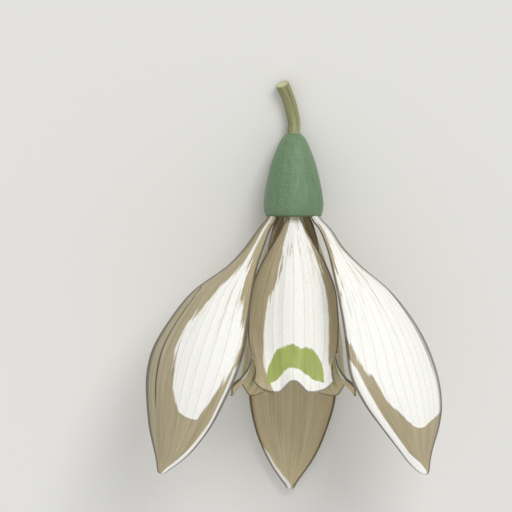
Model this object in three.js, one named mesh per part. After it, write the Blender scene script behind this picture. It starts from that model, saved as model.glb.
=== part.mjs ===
// A single snowdrop flower, picked with a short piece of its flower stalk and laid on its back.
// Three long outer petals spread round a bell of three short, notched inner petals. Inside the bell
// six stamens lean on a slender style. All of them grow from the flat end of a green ovary.
//
// Millimetres. The flower is drawn in its own frame first: the origin is the middle of the ovary's
// flat end, +Y runs up the axis to the stalk, +Z faces the front petal of the bell. It is then
// tipped back until the ovary and the rear outer petal both lie on the surface, which is z = 0.
import * as THREE from "three";

const PETAL_THICKNESS = 0.6;
const EDGE_INSET = 0.17; // the thickness of a blade adds this much to its drawn edges
const SEAT_GAP = 0.25; // between each piece and the one that carries it
const LEAN_BACK = THREE.MathUtils.degToRad(17); // the axis rises this much towards the petal tips
const TURN = 2 * Math.PI;

const OVARY_TOP = 7.0; // where the stalk meets the ovary, above its flat end
const OVARY_SIDES = 28;
// [radius, height above the flat end]
const OVARY_OUTLINE = [
  [2.18, 0],
  [2.36, 0.15],
  [2.47, 0.6],
  [2.48, 1.3],
  [2.38, 2.4],
  [2.14, 3.45],
  [1.75, 4.8],
  [1.32, 5.95],
  [0.98, 6.6],
  [0.6, OVARY_TOP],
];

const STALK_RADIUS = 0.56;
const STALK_SIDES = 12;
const STALK_STEPS = 14;
// [sideways, distance past its foot, forwards] along its middle
const STALK_PATH = [
  [0.02, 0, 0],
  [0.02, 0.8, 0.04],
  [-0.35, 2.4, 0.42],
  [-0.95, 3.9, 1.1],
];

// Outer petals. Each row is one level below the ovary:
// [depth of the level, near edge, far edge, how far the midrib stands from the axis].
// On a side petal the edges are measured sideways from the axis and the midrib forwards.
const LEFT_PETAL = [
  [SEAT_GAP, 1.18, 2.1, 1.09],
  [1.18, 1.81, 2.9, 1.85],
  [2.77, 2.39, 4.08, 2.77],
  [4.37, 2.94, 5.6, 3.7],
  [6.38, 3.34, 8.36, 4.7],
  [8.57, 3.63, 10.21, 5.54],
  [10.92, 3.97, 11.61, 6.13],
  [13.27, 4.69, 12.21, 6.47],
  [15.46, 5.71, 12.25, 6.55],
  [17.47, 6.8, 12.04, 6.38],
  [19.24, 8.15, 11.66, 6.13],
  [20.3, 9.3, 11.42, 5.85],
  [20.95, 10.2, 11.34, 5.68],
  [21.3, 10.75, 11.28, 5.6],
];
const RIGHT_PETAL = [
  [SEAT_GAP, 1.18, 2.1, 1.09],
  [1.18, 2.0, 3.07, 1.85],
  [2.77, 2.65, 4.16, 2.77],
  [4.37, 3.07, 5.71, 3.7],
  [6.38, 3.53, 8.06, 4.7],
  [8.57, 3.95, 9.83, 5.54],
  [10.92, 4.28, 11.17, 6.13],
  [13.27, 4.62, 12.01, 6.47],
  [15.46, 5.71, 12.29, 6.55],
  [17.47, 7.18, 12.1, 6.38],
  [19.24, 8.57, 11.6, 6.13],
  [20.3, 9.6, 11.36, 5.85],
  [20.98, 10.3, 11.26, 5.66],
  [21.36, 10.7, 11.22, 5.58],
];
// On the rear petal the edges are measured to the left and right, and the midrib backwards.
const REAR_PETAL = [
  [SEAT_GAP, -0.5, 0.5, 1.85],
  [1.18, -0.63, 0.63, 2.52],
  [2.77, -0.95, 0.95, 3.42],
  [4.37, -1.55, 1.55, 4.14],
  [6.38, -2.35, 2.35, 4.9],
  [8.57, -3.0, 3.0, 5.79],
  [10.92, -3.42, 3.4, 6.6],
  [13.27, -3.6, 3.5, 7.28],
  [15.46, -3.55, 3.38, 7.76],
  [17.47, -3.17, 2.83, 8.18],
  [19.24, -2.58, 2.15, 8.46],
  [20.75, -1.85, 1.35, 8.66],
  [22.0, -1.1, 0.54, 8.78],
  [22.65, -0.7, 0.1, 8.82],
  [23.0, -0.42, -0.12, 8.84],
];
const OUTER_CUP = 0.42; // how deep a side petal is dished, as a share of its half width
const REAR_CUP = 0.4;
const REAR_FLATNESS = 3.2; // the power that keeps the middle of the rear petal flat
const BASE_FACING = THREE.MathUtils.degToRad(57); // a side petal's stalk end, from straight ahead
const BELLY_FACING = THREE.MathUtils.degToRad(38); // its blade has turned further to the front
const FACING_DONE = 8; // the turn is complete this far below the ovary
const FLAT_BLEND = 0.12; // how softly the rear petal bends into the part that lies flat
const OUTER_ROWS = 24;
const OUTER_COLUMNS = 12;

// The bell. [depth of the level, radius of the bell, half of a petal's arc in degrees]
const BELL = [
  [SEAT_GAP, 1.26, 24],
  [1.18, 1.52, 36],
  [2.52, 2.02, 47],
  [4.2, 2.6, 56],
  [6.3, 3.15, 62],
  [8.4, 3.53, 61],
  [10.5, 3.82, 57],
  [12.43, 4.03, 51],
  [13.86, 4.42, 47],
  [14.87, 5.0, 44],
];
const NOTCH_DEPTH = 1.0;
const NOTCH_HALF_WIDTH = 0.22; // share of the half arc
// The front petal closes a little over the bell's mouth, and the other two flare out beside it.
// rounding draws back the outer corner of a lobe, curl turns the corners of a lip outwards, and
// narrowing is the share of the arc that the lip loses.
const FRONT_LIP = { length: 14.87, rounding: 1.2, curl: 0.3, narrowing: 0.14 };
const SIDE_LIP = { length: 15.2, rounding: 0.85, curl: 0.7, narrowing: 0 };
const LOBE_ROUNDNESS = 5; // the power that keeps the rounding near the corner
const LAP = 0.48; // half the step between two petals where their edges pass
const LAP_ACROSS = [0.3, 0.95]; // the step rises over this share of the way to the edge
const LAP_ALONG = [0.1, 0.45]; // and over this share of the way down the petal
const CURL_START = 0.8; // share of the length where the lip begins to curl
const NARROWING_START = 0.7;
const INNER_ROWS = 18;
const INNER_COLUMNS = 14;

const STAMENS = 6;
const STAMEN_SIDES = 8;
// [distance along the stamen, half width]
const STAMEN_OUTLINE = [
  [SEAT_GAP, 0.16],
  [1.1, 0.14],
  [1.45, 0.26],
  [2.1, 0.36],
  [3.4, 0.35],
  [5.0, 0.26],
  [6.4, 0.14],
  [7.3, 0.06],
];
const STAMEN_FLATNESS = 0.8;
const STAMEN_FOOT = 0.62; // radius of the ring that the stamens stand on
const STAMEN_BULGE = 0.98; // their radius at the widest part of the anthers
const STAMEN_TIP = 0.6;
const STAMEN_WIDEST = 2.1; // distance along the stamen to that part
// [distance below the ovary, radius]
const STYLE_OUTLINE = [
  [SEAT_GAP, 0.187],
  [4.23, 0.176],
  [7.99, 0.22],
  [9.118, 0.198],
  [9.4, 0.077],
];

const smoothstep = THREE.MathUtils.smoothstep;
const white = new THREE.MeshStandardMaterial({ color: 0xf1efe6, roughness: 0.55 });
const bellWhite = new THREE.MeshStandardMaterial({ color: 0xeeeee2, roughness: 0.55 });
const ovaryGreen = new THREE.MeshStandardMaterial({ color: 0x728e6d, roughness: 0.45 });
const stalkGreen = new THREE.MeshStandardMaterial({ color: 0x8f8f66, roughness: 0.5 });
const anther = new THREE.MeshStandardMaterial({ color: 0xd99a35, roughness: 0.7 });
const styleGreen = new THREE.MeshStandardMaterial({ color: 0xdfe3c4, roughness: 0.5 });

const flower = new THREE.Group();

function addPiece(name, geometry, material) {
  const mesh = new THREE.Mesh(geometry, material);
  mesh.name = name;
  flower.add(mesh);
  return mesh;
}

// A smooth curve through the rows of a table: rail(rows, pick)(u) runs from the first to the last.
function rail(rows, pick) {
  const points = rows.map((row) => new THREE.Vector3(...pick(row)));
  const curve = new THREE.CatmullRomCurve3(points, false, "catmullrom", 0.5);
  return (u) => curve.getPoint(u);
}

// A closed blade of even thickness on both sides of surface(u, v), with u and v from 0 to 1.
// Both faces are split along the same diagonals. settle may move a finished corner.
function blade(surface, rows, columns, settle = (corner) => corner) {
  const step = 1e-3;
  const corners = [];
  for (const side of [0.5, -0.5]) {
    for (let i = 0; i <= rows; i++) {
      for (let j = 0; j <= columns; j++) {
        const u = i / rows;
        const v = j / columns;
        const u0 = Math.max(u - step, 0);
        const v0 = Math.max(v - step, 0);
        const along = surface(Math.min(u + step, 1), v).sub(surface(u0, v));
        const across = surface(u, Math.min(v + step, 1)).sub(surface(u, v0));
        const normal = along.cross(across).normalize();
        const corner = surface(u, v).addScaledVector(normal, side * PETAL_THICKNESS);
        if (i === 0) corner.y = -SEAT_GAP;
        corners.push(...settle(corner).toArray());
      }
    }
  }
  const width = columns + 1;
  const back = (rows + 1) * width;
  const faces = [];
  const quad = (a, b, c, d) => faces.push(a, b, c, a, c, d);
  for (let i = 0; i < rows; i++) {
    for (let j = 0; j < columns; j++) {
      const a = i * width + j;
      quad(a, a + width, a + width + 1, a + 1);
      faces.push(back + a, back + a + width + 1, back + a + width);
      faces.push(back + a, back + a + 1, back + a + width + 1);
    }
  }
  const rim = [];
  for (let j = 0; j < columns; j++) rim.push(j);
  for (let i = 0; i < rows; i++) rim.push(i * width + columns);
  for (let j = columns; j > 0; j--) rim.push(rows * width + j);
  for (let i = rows; i > 0; i--) rim.push(i * width);
  rim.forEach((a, k) => {
    const b = rim[(k + 1) % rim.length];
    quad(a, b, back + b, back + a);
  });
  const geometry = new THREE.BufferGeometry();
  geometry.setAttribute("position", new THREE.Float32BufferAttribute(corners, 3));
  geometry.setIndex(faces);
  geometry.computeVertexNormals();
  return geometry;
}

// Ovary: an egg that narrows to the stalk and ends flat where the petals grow.
function ovary() {
  const outline = OVARY_OUTLINE.map(([radius, height]) => new THREE.Vector2(radius, height));
  outline.unshift(new THREE.Vector2(0, 0));
  outline.push(new THREE.Vector2(0, OVARY_TOP));
  return new THREE.LatheGeometry(outline, OVARY_SIDES);
}

// How far the flower's origin is above the surface when the side of the ovary lies on it.
const ORIGIN_HEIGHT = Math.max(
  ...OVARY_OUTLINE.map(
    ([radius, height]) => radius * Math.cos(LEAN_BACK) + height * Math.sin(LEAN_BACK),
  ),
);

// Flower stalk: arches up and to the left from the ovary, and is cut off square.
function stalk() {
  const foot = OVARY_TOP + SEAT_GAP;
  const points = STALK_PATH.map(([x, past, z]) => new THREE.Vector3(x, foot + past, z));
  const path = new THREE.CatmullRomCurve3(points);
  const section = new THREE.Shape();
  for (let k = 0; k <= STALK_SIDES; k++) {
    const angle = (TURN * k) / STALK_SIDES;
    const place = [STALK_RADIUS * Math.cos(angle), STALK_RADIUS * Math.sin(angle)];
    if (k === 0) section.moveTo(...place);
    else section.lineTo(...place);
  }
  return new THREE.ExtrudeGeometry(section, { steps: STALK_STEPS, extrudePath: path });
}

// The direction that a side petal faces at a level below the ovary, from straight ahead.
function facing(level) {
  return THREE.MathUtils.lerp(BASE_FACING, BELLY_FACING, smoothstep(level, 0, FACING_DONE));
}

// Side petal: hand is -1 on the left and 1 on the right.
function sidePetal(rows, hand) {
  const nearEdge = rail(rows, ([level, near, far, out]) => [near + EDGE_INSET / 2, level, out]);
  const farEdge = rail(rows, ([level, near, far, out]) => [far - EDGE_INSET, level, out]);
  const surface = (u, v) => {
    const near = nearEdge(u);
    const far = farEdge(u);
    const turned = facing(near.y);
    const halfSpan = (far.x - near.x) / 2;
    const cup = (OUTER_CUP * halfSpan) / Math.cos(turned);
    const across = 2 * (hand > 0 ? v : 1 - v) - 1;
    const dish = cup * across * across;
    const sideways = (near.x + far.x) / 2 + halfSpan * across + (cup - dish) * Math.sin(turned);
    const forwards = near.z - halfSpan * Math.tan(turned) * across - dish * Math.cos(turned);
    return new THREE.Vector3(hand * sideways, -near.y, forwards);
  };
  return blade(surface, OUTER_ROWS, OUTER_COLUMNS);
}

// Height above the surface of a point in the flower's own frame, and the way that it is raised.
function heightOf(point) {
  return ORIGIN_HEIGHT - point.y * Math.sin(LEAN_BACK) + point.z * Math.cos(LEAN_BACK);
}

function raise(point, rise) {
  point.z += rise / Math.cos(LEAN_BACK);
  return point;
}

// Rear petal: its blade would pass a little below the surface, and is pressed flat there.
function rearPetal() {
  const leftEdge = rail(REAR_PETAL, ([level, left, right, out]) => [left, level, out]);
  const rightEdge = rail(REAR_PETAL, ([level, left, right, out]) => [right, level, out]);
  const lowest = PETAL_THICKNESS / 2;
  const surface = (u, v) => {
    const left = leftEdge(u);
    const right = rightEdge(u);
    const halfSpan = (right.x - left.x) / 2;
    const across = 1 - 2 * v;
    const dish = REAR_CUP * halfSpan * Math.abs(across) ** REAR_FLATNESS;
    const x = (left.x + right.x) / 2 + halfSpan * across;
    const point = new THREE.Vector3(x, -left.y, dish - left.z);
    const height = heightOf(point);
    const above = height - lowest;
    if (above >= FLAT_BLEND) return point;
    const pressed = above <= -FLAT_BLEND ? 0 : (above + FLAT_BLEND) ** 2 / (4 * FLAT_BLEND);
    return raise(point, pressed - above);
  };
  const keepAbove = (corner) => {
    const height = heightOf(corner);
    return height < 0 ? raise(corner, -height) : corner;
  };
  return blade(surface, OUTER_ROWS, OUTER_COLUMNS, keepAbove);
}

// Inner petal, drawn facing the front. leftLap and rightLap say whether its left and right edges
// pass outside (1) or inside (-1) those of its neighbours.
function innerPetal(leftLap, rightLap, lip) {
  const bell = rail(BELL, ([level, radius, arc]) => [level, radius, arc]);
  const bellLength = BELL.at(-1)[0];
  const surface = (u, v) => {
    const across = 1 - 2 * v;
    const side = Math.abs(across);
    const notch = NOTCH_DEPTH * Math.exp(-((across / NOTCH_HALF_WIDTH) ** 2));
    const end = lip.length - notch - lip.rounding * side ** LOBE_ROUNDNESS;
    const place = bell(u);
    const level = (place.x * end) / bellLength;
    const lap = across < 0 ? leftLap : rightLap;
    const lapped = lap * LAP * smoothstep(side, ...LAP_ACROSS) * smoothstep(u, ...LAP_ALONG);
    const radius = place.y + lapped + lip.curl * smoothstep(u, CURL_START, 1) * side * side;
    const arc = place.z * (1 - lip.narrowing * smoothstep(u, NARROWING_START, 1));
    const angle = THREE.MathUtils.degToRad(arc) * across;
    const x = radius * Math.sin(angle);
    const z = radius * Math.cos(angle);
    return new THREE.Vector3(x, -level, z);
  };
  return blade(surface, INNER_ROWS, INNER_COLUMNS);
}

// A closed solid of rings, [centre, half width, half depth, turn] each, with round sections.
function ringSolid(rings, sides) {
  const corners = [];
  for (const { centre, wide, deep, turn } of rings) {
    for (let k = 0; k < sides; k++) {
      const angle = (TURN * k) / sides;
      const across = wide * Math.cos(angle);
      const out = deep * Math.sin(angle);
      corners.push(
        centre.x + across * Math.cos(turn) + out * Math.sin(turn),
        centre.y,
        centre.z - across * Math.sin(turn) + out * Math.cos(turn),
      );
    }
  }
  const faces = [];
  const last = rings.length - 1;
  for (let i = 0; i < last; i++) {
    for (let k = 0; k < sides; k++) {
      const a = i * sides + k;
      const b = i * sides + ((k + 1) % sides);
      faces.push(a, b, a + sides, b, b + sides, a + sides);
    }
  }
  for (let k = 1; k < sides - 1; k++) {
    faces.push(0, k + 1, k);
    faces.push(last * sides, last * sides + k, last * sides + k + 1);
  }
  const geometry = new THREE.BufferGeometry();
  geometry.setAttribute("position", new THREE.Float32BufferAttribute(corners, 3));
  geometry.setIndex(faces);
  geometry.computeVertexNormals();
  return geometry;
}

// Stamen: a short thread that carries a long anther, which tapers to a bristle.
function stamen(turn) {
  const longest = STAMEN_OUTLINE.at(-1)[0];
  const rings = STAMEN_OUTLINE.map(([along, half]) => {
    const lean =
      along < STAMEN_WIDEST
        ? THREE.MathUtils.mapLinear(along, 0, STAMEN_WIDEST, STAMEN_FOOT, STAMEN_BULGE)
        : THREE.MathUtils.mapLinear(along, STAMEN_WIDEST, longest, STAMEN_BULGE, STAMEN_TIP);
    const centre = new THREE.Vector3(lean * Math.sin(turn), -along, lean * Math.cos(turn));
    return { centre, wide: half, deep: half * STAMEN_FLATNESS, turn };
  });
  return ringSolid(rings, STAMEN_SIDES);
}

// Style: a slender column a little longer than the anthers, thickest just above its round tip.
function styleColumn() {
  const rings = STYLE_OUTLINE.map(([along, half]) => {
    return { centre: new THREE.Vector3(0, -along, 0), wide: half, deep: half, turn: 0 };
  });
  return ringSolid(rings, STAMEN_SIDES);
}

addPiece("ovary", ovary(), ovaryGreen);
addPiece("flower_stalk", stalk(), stalkGreen);
addPiece("outer_petal_left", sidePetal(LEFT_PETAL, -1), white);
addPiece("outer_petal_right", sidePetal(RIGHT_PETAL, 1), white);
addPiece("outer_petal_rear", rearPetal(), white);

// The front inner petal laps over both neighbours, and the left one over the right one at the back.
addPiece("inner_petal_front", innerPetal(1, 1, FRONT_LIP), bellWhite);
addPiece("inner_petal_left", innerPetal(1, -1, SIDE_LIP), bellWhite).rotation.y = -TURN / 3;
addPiece("inner_petal_right", innerPetal(-1, -1, SIDE_LIP), bellWhite).rotation.y = TURN / 3;

for (let k = 0; k < STAMENS; k++) {
  addPiece(`stamen_${k + 1}`, stamen((TURN * k) / STAMENS), anther);
}
addPiece("style", styleColumn(), styleGreen);

// Lay the flower on its back, with the middle of its footprint at the origin.
const laid = new THREE.Group();
laid.add(flower);
flower.rotation.x = -LEAN_BACK;
laid.updateMatrixWorld(true);
const box = new THREE.Box3().setFromObject(laid, true);
const middle = box.getCenter(new THREE.Vector3());
flower.position.set(-middle.x, -middle.y, ORIGIN_HEIGHT);

export default laid;
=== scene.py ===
# A picked snowdrop bloom, lying on its back on a pale surface and seen from above.
# The petals are drawn as thin veined blades and then thickened. The ovary, stalk, stamens and
# style are discs extruded ring by ring and then bent into place.
import math
from functools import partial

import bpy
from mathutils import Matrix, Vector, noise


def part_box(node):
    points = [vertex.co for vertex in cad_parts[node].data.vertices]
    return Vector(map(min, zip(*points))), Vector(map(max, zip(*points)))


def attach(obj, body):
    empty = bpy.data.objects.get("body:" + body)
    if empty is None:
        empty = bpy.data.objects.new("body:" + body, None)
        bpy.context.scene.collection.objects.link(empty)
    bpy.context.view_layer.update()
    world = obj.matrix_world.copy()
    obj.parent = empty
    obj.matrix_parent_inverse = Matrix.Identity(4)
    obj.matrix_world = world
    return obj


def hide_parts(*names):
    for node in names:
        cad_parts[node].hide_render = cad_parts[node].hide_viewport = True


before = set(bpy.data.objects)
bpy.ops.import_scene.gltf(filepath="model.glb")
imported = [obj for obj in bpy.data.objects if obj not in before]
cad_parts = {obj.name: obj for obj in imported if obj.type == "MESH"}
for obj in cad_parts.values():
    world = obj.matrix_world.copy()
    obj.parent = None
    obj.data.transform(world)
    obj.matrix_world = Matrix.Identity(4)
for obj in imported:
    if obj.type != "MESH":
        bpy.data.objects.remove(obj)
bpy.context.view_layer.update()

mm = 0.001

# The bloom has its own frame: its origin is the middle of the ovary's flat end, +Y runs up the
# axis to the stalk and +Z faces the front petal of the bell. Tables in it are in millimetres.
bloom = {
    "lean": math.radians(17),  # the axis rises this much towards the petal tips
    "millimetresPerPixel": 0.084,
    "axisPixel": (293.5, 217),  # where that origin is seen in the 512 picture
    "pictureSize": 512,
}

ovary = {
    # radius and height above the flat end, from its lower rim to the stalk
    "profile": [(2.18, 0), (2.36, 0.15), (2.47, 0.6), (2.48, 1.3), (2.38, 2.4), (2.14, 3.45),
                (1.75, 4.8), (1.32, 5.95), (0.98, 6.6), (0.6, 7.0)],
    "dish": [(0.05, 0.3), (0.8, 0.28), (1.5, 0.18), (1.95, 0.05)],  # the flat end is hollowed
    "top": [(0.35, 7.06), (0.05, 7.08)],
    "rings": 90,
    "sides": 120,
    "lobes": 3,  # one for each chamber of seeds
    "lobeDepth": 0.012,  # as a share of the radius, as the next two depths are
    "ribs": 18,
    "ribDepth": 0.0035,
    "unevenness": 0.03,
    "unevenCells": (0.9, 0.54),  # noise cells to a millimetre, across the axis and along it
    "lobesStart": (0.1, 1.2),  # heights between which the lobes come in, and between which they end
    "lobesEnd": (5.5, 7),
    "skin": "#648060",
    "topSkin": "#6b8865",
    "lowSkin": "#567052",
    "waxGrain": "#8fa988",
    # painted shade at the lower rim, where the petals join
    "rim": "#4a5539",
    "nectar": "#a9b57a",  # the hollowed end, where nectar is made
    "grain": 0.13,  # size of the waxy grains
    "streaks": (2.2, 0.3, 2.2),  # noise cells to a millimetre, fewer along the axis
}


def bloomPlace():
    # the ovary's own box tells where the bloom's origin is
    low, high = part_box("ovary")
    turn = Matrix.Rotation(-bloom["lean"], 3, "X")
    reach = [turn @ Vector((0, height, radius)) * mm for radius, height in ovary["profile"]]
    origin = Vector((
        (low.x + high.x) / 2,
        high.y - max(point.y for point in reach),
        high.z - max(point.z for point in reach),
    ))
    return Matrix.Translation(origin) @ turn.to_4x4()


place = bloomPlace()


# Camera: square on to the bloom's axis, with the stalk at the top of the picture. The lens is
# very long, because the picture is drawn without perspective.
camera = {
    "lens": 1200,
    "sensor": 36,
    "clip": (0.01, 20),  # in metres
}


def makeCamera():
    scale = bloom["millimetresPerPixel"]
    middle = bloom["pictureSize"] / 2
    across = (middle - bloom["axisPixel"][0]) * scale
    along = (bloom["axisPixel"][1] - middle) * scale
    distance = bloom["pictureSize"] * scale * camera["lens"] / camera["sensor"]
    bpy.ops.object.camera_add(location=place @ (Vector((across, along, distance)) * mm),
                              rotation=place.to_euler())
    made = bpy.context.object
    made.data.lens = camera["lens"]
    made.data.sensor_width = camera["sensor"]
    made.data.clip_start, made.data.clip_end = camera["clip"]
    bpy.context.scene.camera = made
    bpy.context.scene.view_settings.view_transform = "Standard"


makeCamera()
print("camera made")


def linear(code):
    # hex sRGB to the linear values that the shaders take
    channels = [int(code[k:k + 2], 16) / 255 for k in (1, 3, 5)]
    return tuple(c / 12.92 if c <= 0.04045 else ((c + 0.055) / 1.055) ** 2.4 for c in channels) + (1,)


def feed(source, socket):
    # links a node's result, or one of its sockets
    if isinstance(source, bpy.types.Node):
        source = next(output for output in source.outputs if output.enabled)
    socket.id_data.links.new(source, socket)


def addNode(tree, kind, inputs=None, **settings):
    # one shader node with its settings. An input is a value, or a node or socket to link, and is
    # named or counted among the sockets in use.
    node = tree.nodes.new("ShaderNode" + kind)
    for name, value in settings.items():
        setattr(node, name, value)
    used = [socket for socket in node.inputs if socket.enabled]
    for name, value in (inputs or {}).items():
        socket = used[name] if isinstance(name, int) else next(s for s in used if s.name == name)
        if isinstance(value, (bpy.types.Node, bpy.types.NodeSocket)):
            feed(value, socket)
        else:
            socket.default_value = value
    return node


def newMaterial(name, finish):
    # finish holds the shader's own fixed values. The last thing returned adds a node to it.
    material = bpy.data.materials.new(name)
    material.use_nodes = True
    shader = material.node_tree.nodes["Principled BSDF"]
    for socket, value in finish.items():
        shader.inputs[socket].default_value = value
    return material, shader, partial(addNode, material.node_tree)


def bloomSpace(add):
    # millimetres in the bloom's own frame
    return add("Mapping", {
        "Vector": add("TexCoord").outputs["Object"],
        "Location": place.translation,
        "Rotation": place.to_euler(),
        "Scale": (mm, mm, mm),
    }, vector_type="TEXTURE")


def smooth(value, low, high):
    t = min(max((value - low) / (high - low), 0), 1)
    return t * t * (3 - 2 * t)


def alongTable(table, u):
    # a smooth curve through the rows of a table, from the first at 0 to the last at 1
    last = len(table) - 1
    k = min(int(u * last), last - 1)
    t = u * last - k
    made = []
    for column in range(len(table[0])):
        here, there = table[k][column], table[k + 1][column]
        before = table[k - 1][column] if k > 0 else 2 * here - there
        after = table[k + 2][column] if k + 1 < last else 2 * there - here
        slope0, slope1 = (there - before) / 2, (after - here) / 2
        rise = there - here
        made.append(here + slope0 * t + (3 * rise - 2 * slope0 - slope1) * t * t
                    + (slope0 + slope1 - 2 * rise) * t ** 3)
    return made


def follow(rows, at):
    # straight lines through (place, height) rows
    if at <= rows[0][0]:
        return rows[0][1]
    for (start, low), (end, high) in zip(rows, rows[1:]):
        if at <= end:
            return low + (high - low) * (at - start) / (end - start)
    return rows[-1][1]


def settle(piece, node):
    # the piece stands for its CAD node
    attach(piece, "root")
    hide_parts(node)


# Petal blades. across runs from -1 at the left edge to 1 at the right one, seen from outside
# with the stalk up, and along runs from 0 at the ovary to 1 at the tip.
petals = {
    "rows": 150,
    "columns": 96,
    "tipCrowding": 1.3,  # above 1, the rows stand closer together towards the tip
    "cadHalfThickness": 0.3,
    "thickness": 0.3,
    "edgeShare": 0.35,  # the blade thins to this share of its thickness at the edge
    "edgeTaper": 0.3,  # and starts to thin this share of the half width away from it
    "clawDepth": 0.55,  # the claws run on this far, up to and into the ovary
    "clawEnd": 0.05,
    "fullWidth": 6,  # where the blade is narrower than this, the relief on it is shallower
    "veinRelief": 0.016,
    "channel": 0.05,  # depth of the shallow groove along the midrib
    "channelHalfWidth": 0.07,
    "crease": 0.035,  # depth of the fold lines beside the margins
    "creaseHalfWidth": 0.018,  # as a share of the blade's width
    "unfolded": 9.0,  # distance to the fold line on a blade that has none
    # where a form starts and where it is whole, in from the edge, across or along the blade
    "veinsFromEdge": (0.02, 0.3),
    "channelAlong": (0.05, 0.3),
    "rimAlong": (0.4, 0.5),
    "waveAcross": (0.5, 1),
    "waveAlong": (0.2, 0.5),
    # slow unevenness: how much, noise cells across and along the blade, and its own layer of noise
    "veinWander": (0.25, 0.7, 4, 20),
    "swell": (0.05, 1.5, 5, 7),
    "edgeWave": (0.1, 1, 7, 13),
}


def outward(surface, along, across):
    step = 0.004
    u0, u1 = max(along - step, 0), min(along + step, 1)
    v0, v1 = max(across - step, -1), min(across + step, 1)
    down = surface(u1, across) - surface(u0, across)
    right = surface(along, v1) - surface(along, v0)
    return down.cross(right).normalized()


def uneven(kind, across, along, seed):
    amount, cellsAcross, cellsAlong, layer = petals[kind]
    return amount * noise.noise(Vector((across * cellsAcross, along * cellsAlong, seed + layer)))


def bladeMarks(drawing, along, across, width, seed):
    # where a point lies against each line and border that is drawn on the blade. Borders are
    # above zero inside what they bound, and are given as shares of the blade's width, as rows
    # for its left edge and for its right one.
    left = (across + 1) / 2
    edges = (left, 1 - left)
    narrow = math.sqrt(max(petals["fullWidth"] / width, 1))
    marks = {
        "across": across,
        "along": along,
        "veinPhase": drawing["veins"] * across + uneven("veinWander", across, along, seed),
        "shade": max(follow(rows, along) - edge for rows, edge in zip(drawing["shade"], edges)),
        "pale": max(follow(rows, along) - edge for rows, edge in zip(drawing["pale"], edges)),
        "rim": max(1 - edge / (follow(rows, along) * narrow)
                   for rows, edge in zip(drawing["line"], edges)),
        "fold": petals["unfolded"],
    }
    if "fold" in drawing:
        # never quite zero, where the fold has run out
        halfWidth = petals["creaseHalfWidth"] * follow(drawing["foldStrength"], along) + 0.0005
        marks["fold"] = (left - follow(drawing["fold"], along)) / halfWidth
    if "greenTop" in drawing:
        # between its two borders, and closed at the ends of the arch
        out = abs(across - drawing["greenMiddle"]) / drawing["greenSpan"]
        marks["green"] = min(along - follow(drawing["greenTop"], out),
                             follow(drawing["greenBottom"], out) - along, (1 - out) / 4)
    return marks


def bladeRelief(marks, share, seed):
    # veins run the length of the blade, with a channel down the middle and folded margins
    along, across = marks["along"], marks["across"]
    side = abs(across)
    vein = petals["veinRelief"] * math.cos(math.pi * marks["veinPhase"])
    channel = petals["channel"] * math.exp(-((across / petals["channelHalfWidth"]) ** 2))
    channel *= smooth(along, *petals["channelAlong"])
    body = vein - channel + uneven("swell", across, along, seed)
    body *= smooth(1 - side, *petals["veinsFromEdge"])
    fold = petals["crease"] * math.exp(-(marks["fold"] ** 2))
    rim = petals["crease"] * math.exp(-((marks["pale"] / petals["creaseHalfWidth"]) ** 2))
    rim *= smooth(along, *petals["rimAlong"])
    wave = uneven("edgeWave", across, along, seed)
    wave *= smooth(side, *petals["waveAcross"]) * smooth(along, *petals["waveAlong"])
    return (body - fold - rim + wave) * share


def bladeRow(surface, share, tipRounding):
    # what the corners of one row have in common. In a round tip they close in on the midrib, to
    # a tenth of the width.
    along = 1 - (1 - share) ** petals["tipCrowding"]
    width = (surface(along, 1) - surface(along, -1)).length
    rise = petals["cadHalfThickness"] * smooth(along, 0, petals["clawEnd"])
    closing = max(along - 1 + tipRounding, 0) / max(tipRounding, 0.001)
    return {
        "along": along,
        "width": width,
        "rise": rise,
        "relief": min(width / petals["fullWidth"], 1) ** 2,
        "middle": surface(along, 0) + outward(surface, along, 0) * rise,
        "opening": math.sqrt(max(1 - closing ** 2, 0.01)),
    }


def makeBlade(name, surface, drawing, seed, skins, tipRounding):
    # a flat grid, moved onto the blade's outer face and then thickened inwards. skins are the
    # materials of its outside and its inside.
    bpy.ops.object.select_all(action="DESELECT")
    bpy.ops.mesh.primitive_grid_add(x_subdivisions=petals["columns"],
                                    y_subdivisions=petals["rows"], size=2)
    blade = bpy.context.object
    blade.name = name
    for skin in skins:
        blade.data.materials.append(skin)
    body = blade.vertex_groups.new(name="body")
    drawn = {}
    rows = [bladeRow(surface, k / petals["rows"], tipRounding) for k in range(petals["rows"] + 1)]
    for corner in blade.data.vertices:
        row = rows[round((corner.co.y + 1) / 2 * petals["rows"])]
        along = row["along"]
        across = corner.co.x
        marks = bladeMarks(drawing, along, across, row["width"], seed)
        for mark, value in marks.items():
            drawn.setdefault(mark, []).append(value)
        rise = row["rise"] + bladeRelief(marks, row["relief"], seed)
        point = surface(along, across) + outward(surface, along, across) * rise
        corner.co = place @ (row["middle"].lerp(point, row["opening"]) * mm)
        corner.co.z = max(corner.co.z, 0)
        fromEdge = min(1 - abs(across), 2 * (1 - along))
        thick = smooth(fromEdge, 0, petals["edgeTaper"])
        share = petals["edgeShare"] + (1 - petals["edgeShare"]) * thick
        body.add([corner.index], share, "REPLACE")
    for mark, values in drawn.items():
        blade.data.attributes.new(mark, "FLOAT", "POINT").data.foreach_set("value", values)
    bpy.ops.object.mode_set(mode="EDIT")
    bpy.ops.mesh.select_all(action="SELECT")
    bpy.ops.mesh.flip_normals()
    bpy.ops.object.mode_set(mode="OBJECT")
    wall = blade.modifiers.new("thickness", "SOLIDIFY")
    wall.thickness = petals["thickness"] * mm
    wall.offset = -1
    wall.vertex_group = "body"
    wall.thickness_vertex_group = 0.0
    wall.material_offset = 1
    bpy.ops.object.modifier_apply(modifier="thickness")
    bpy.ops.object.shade_smooth()
    return blade
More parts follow.
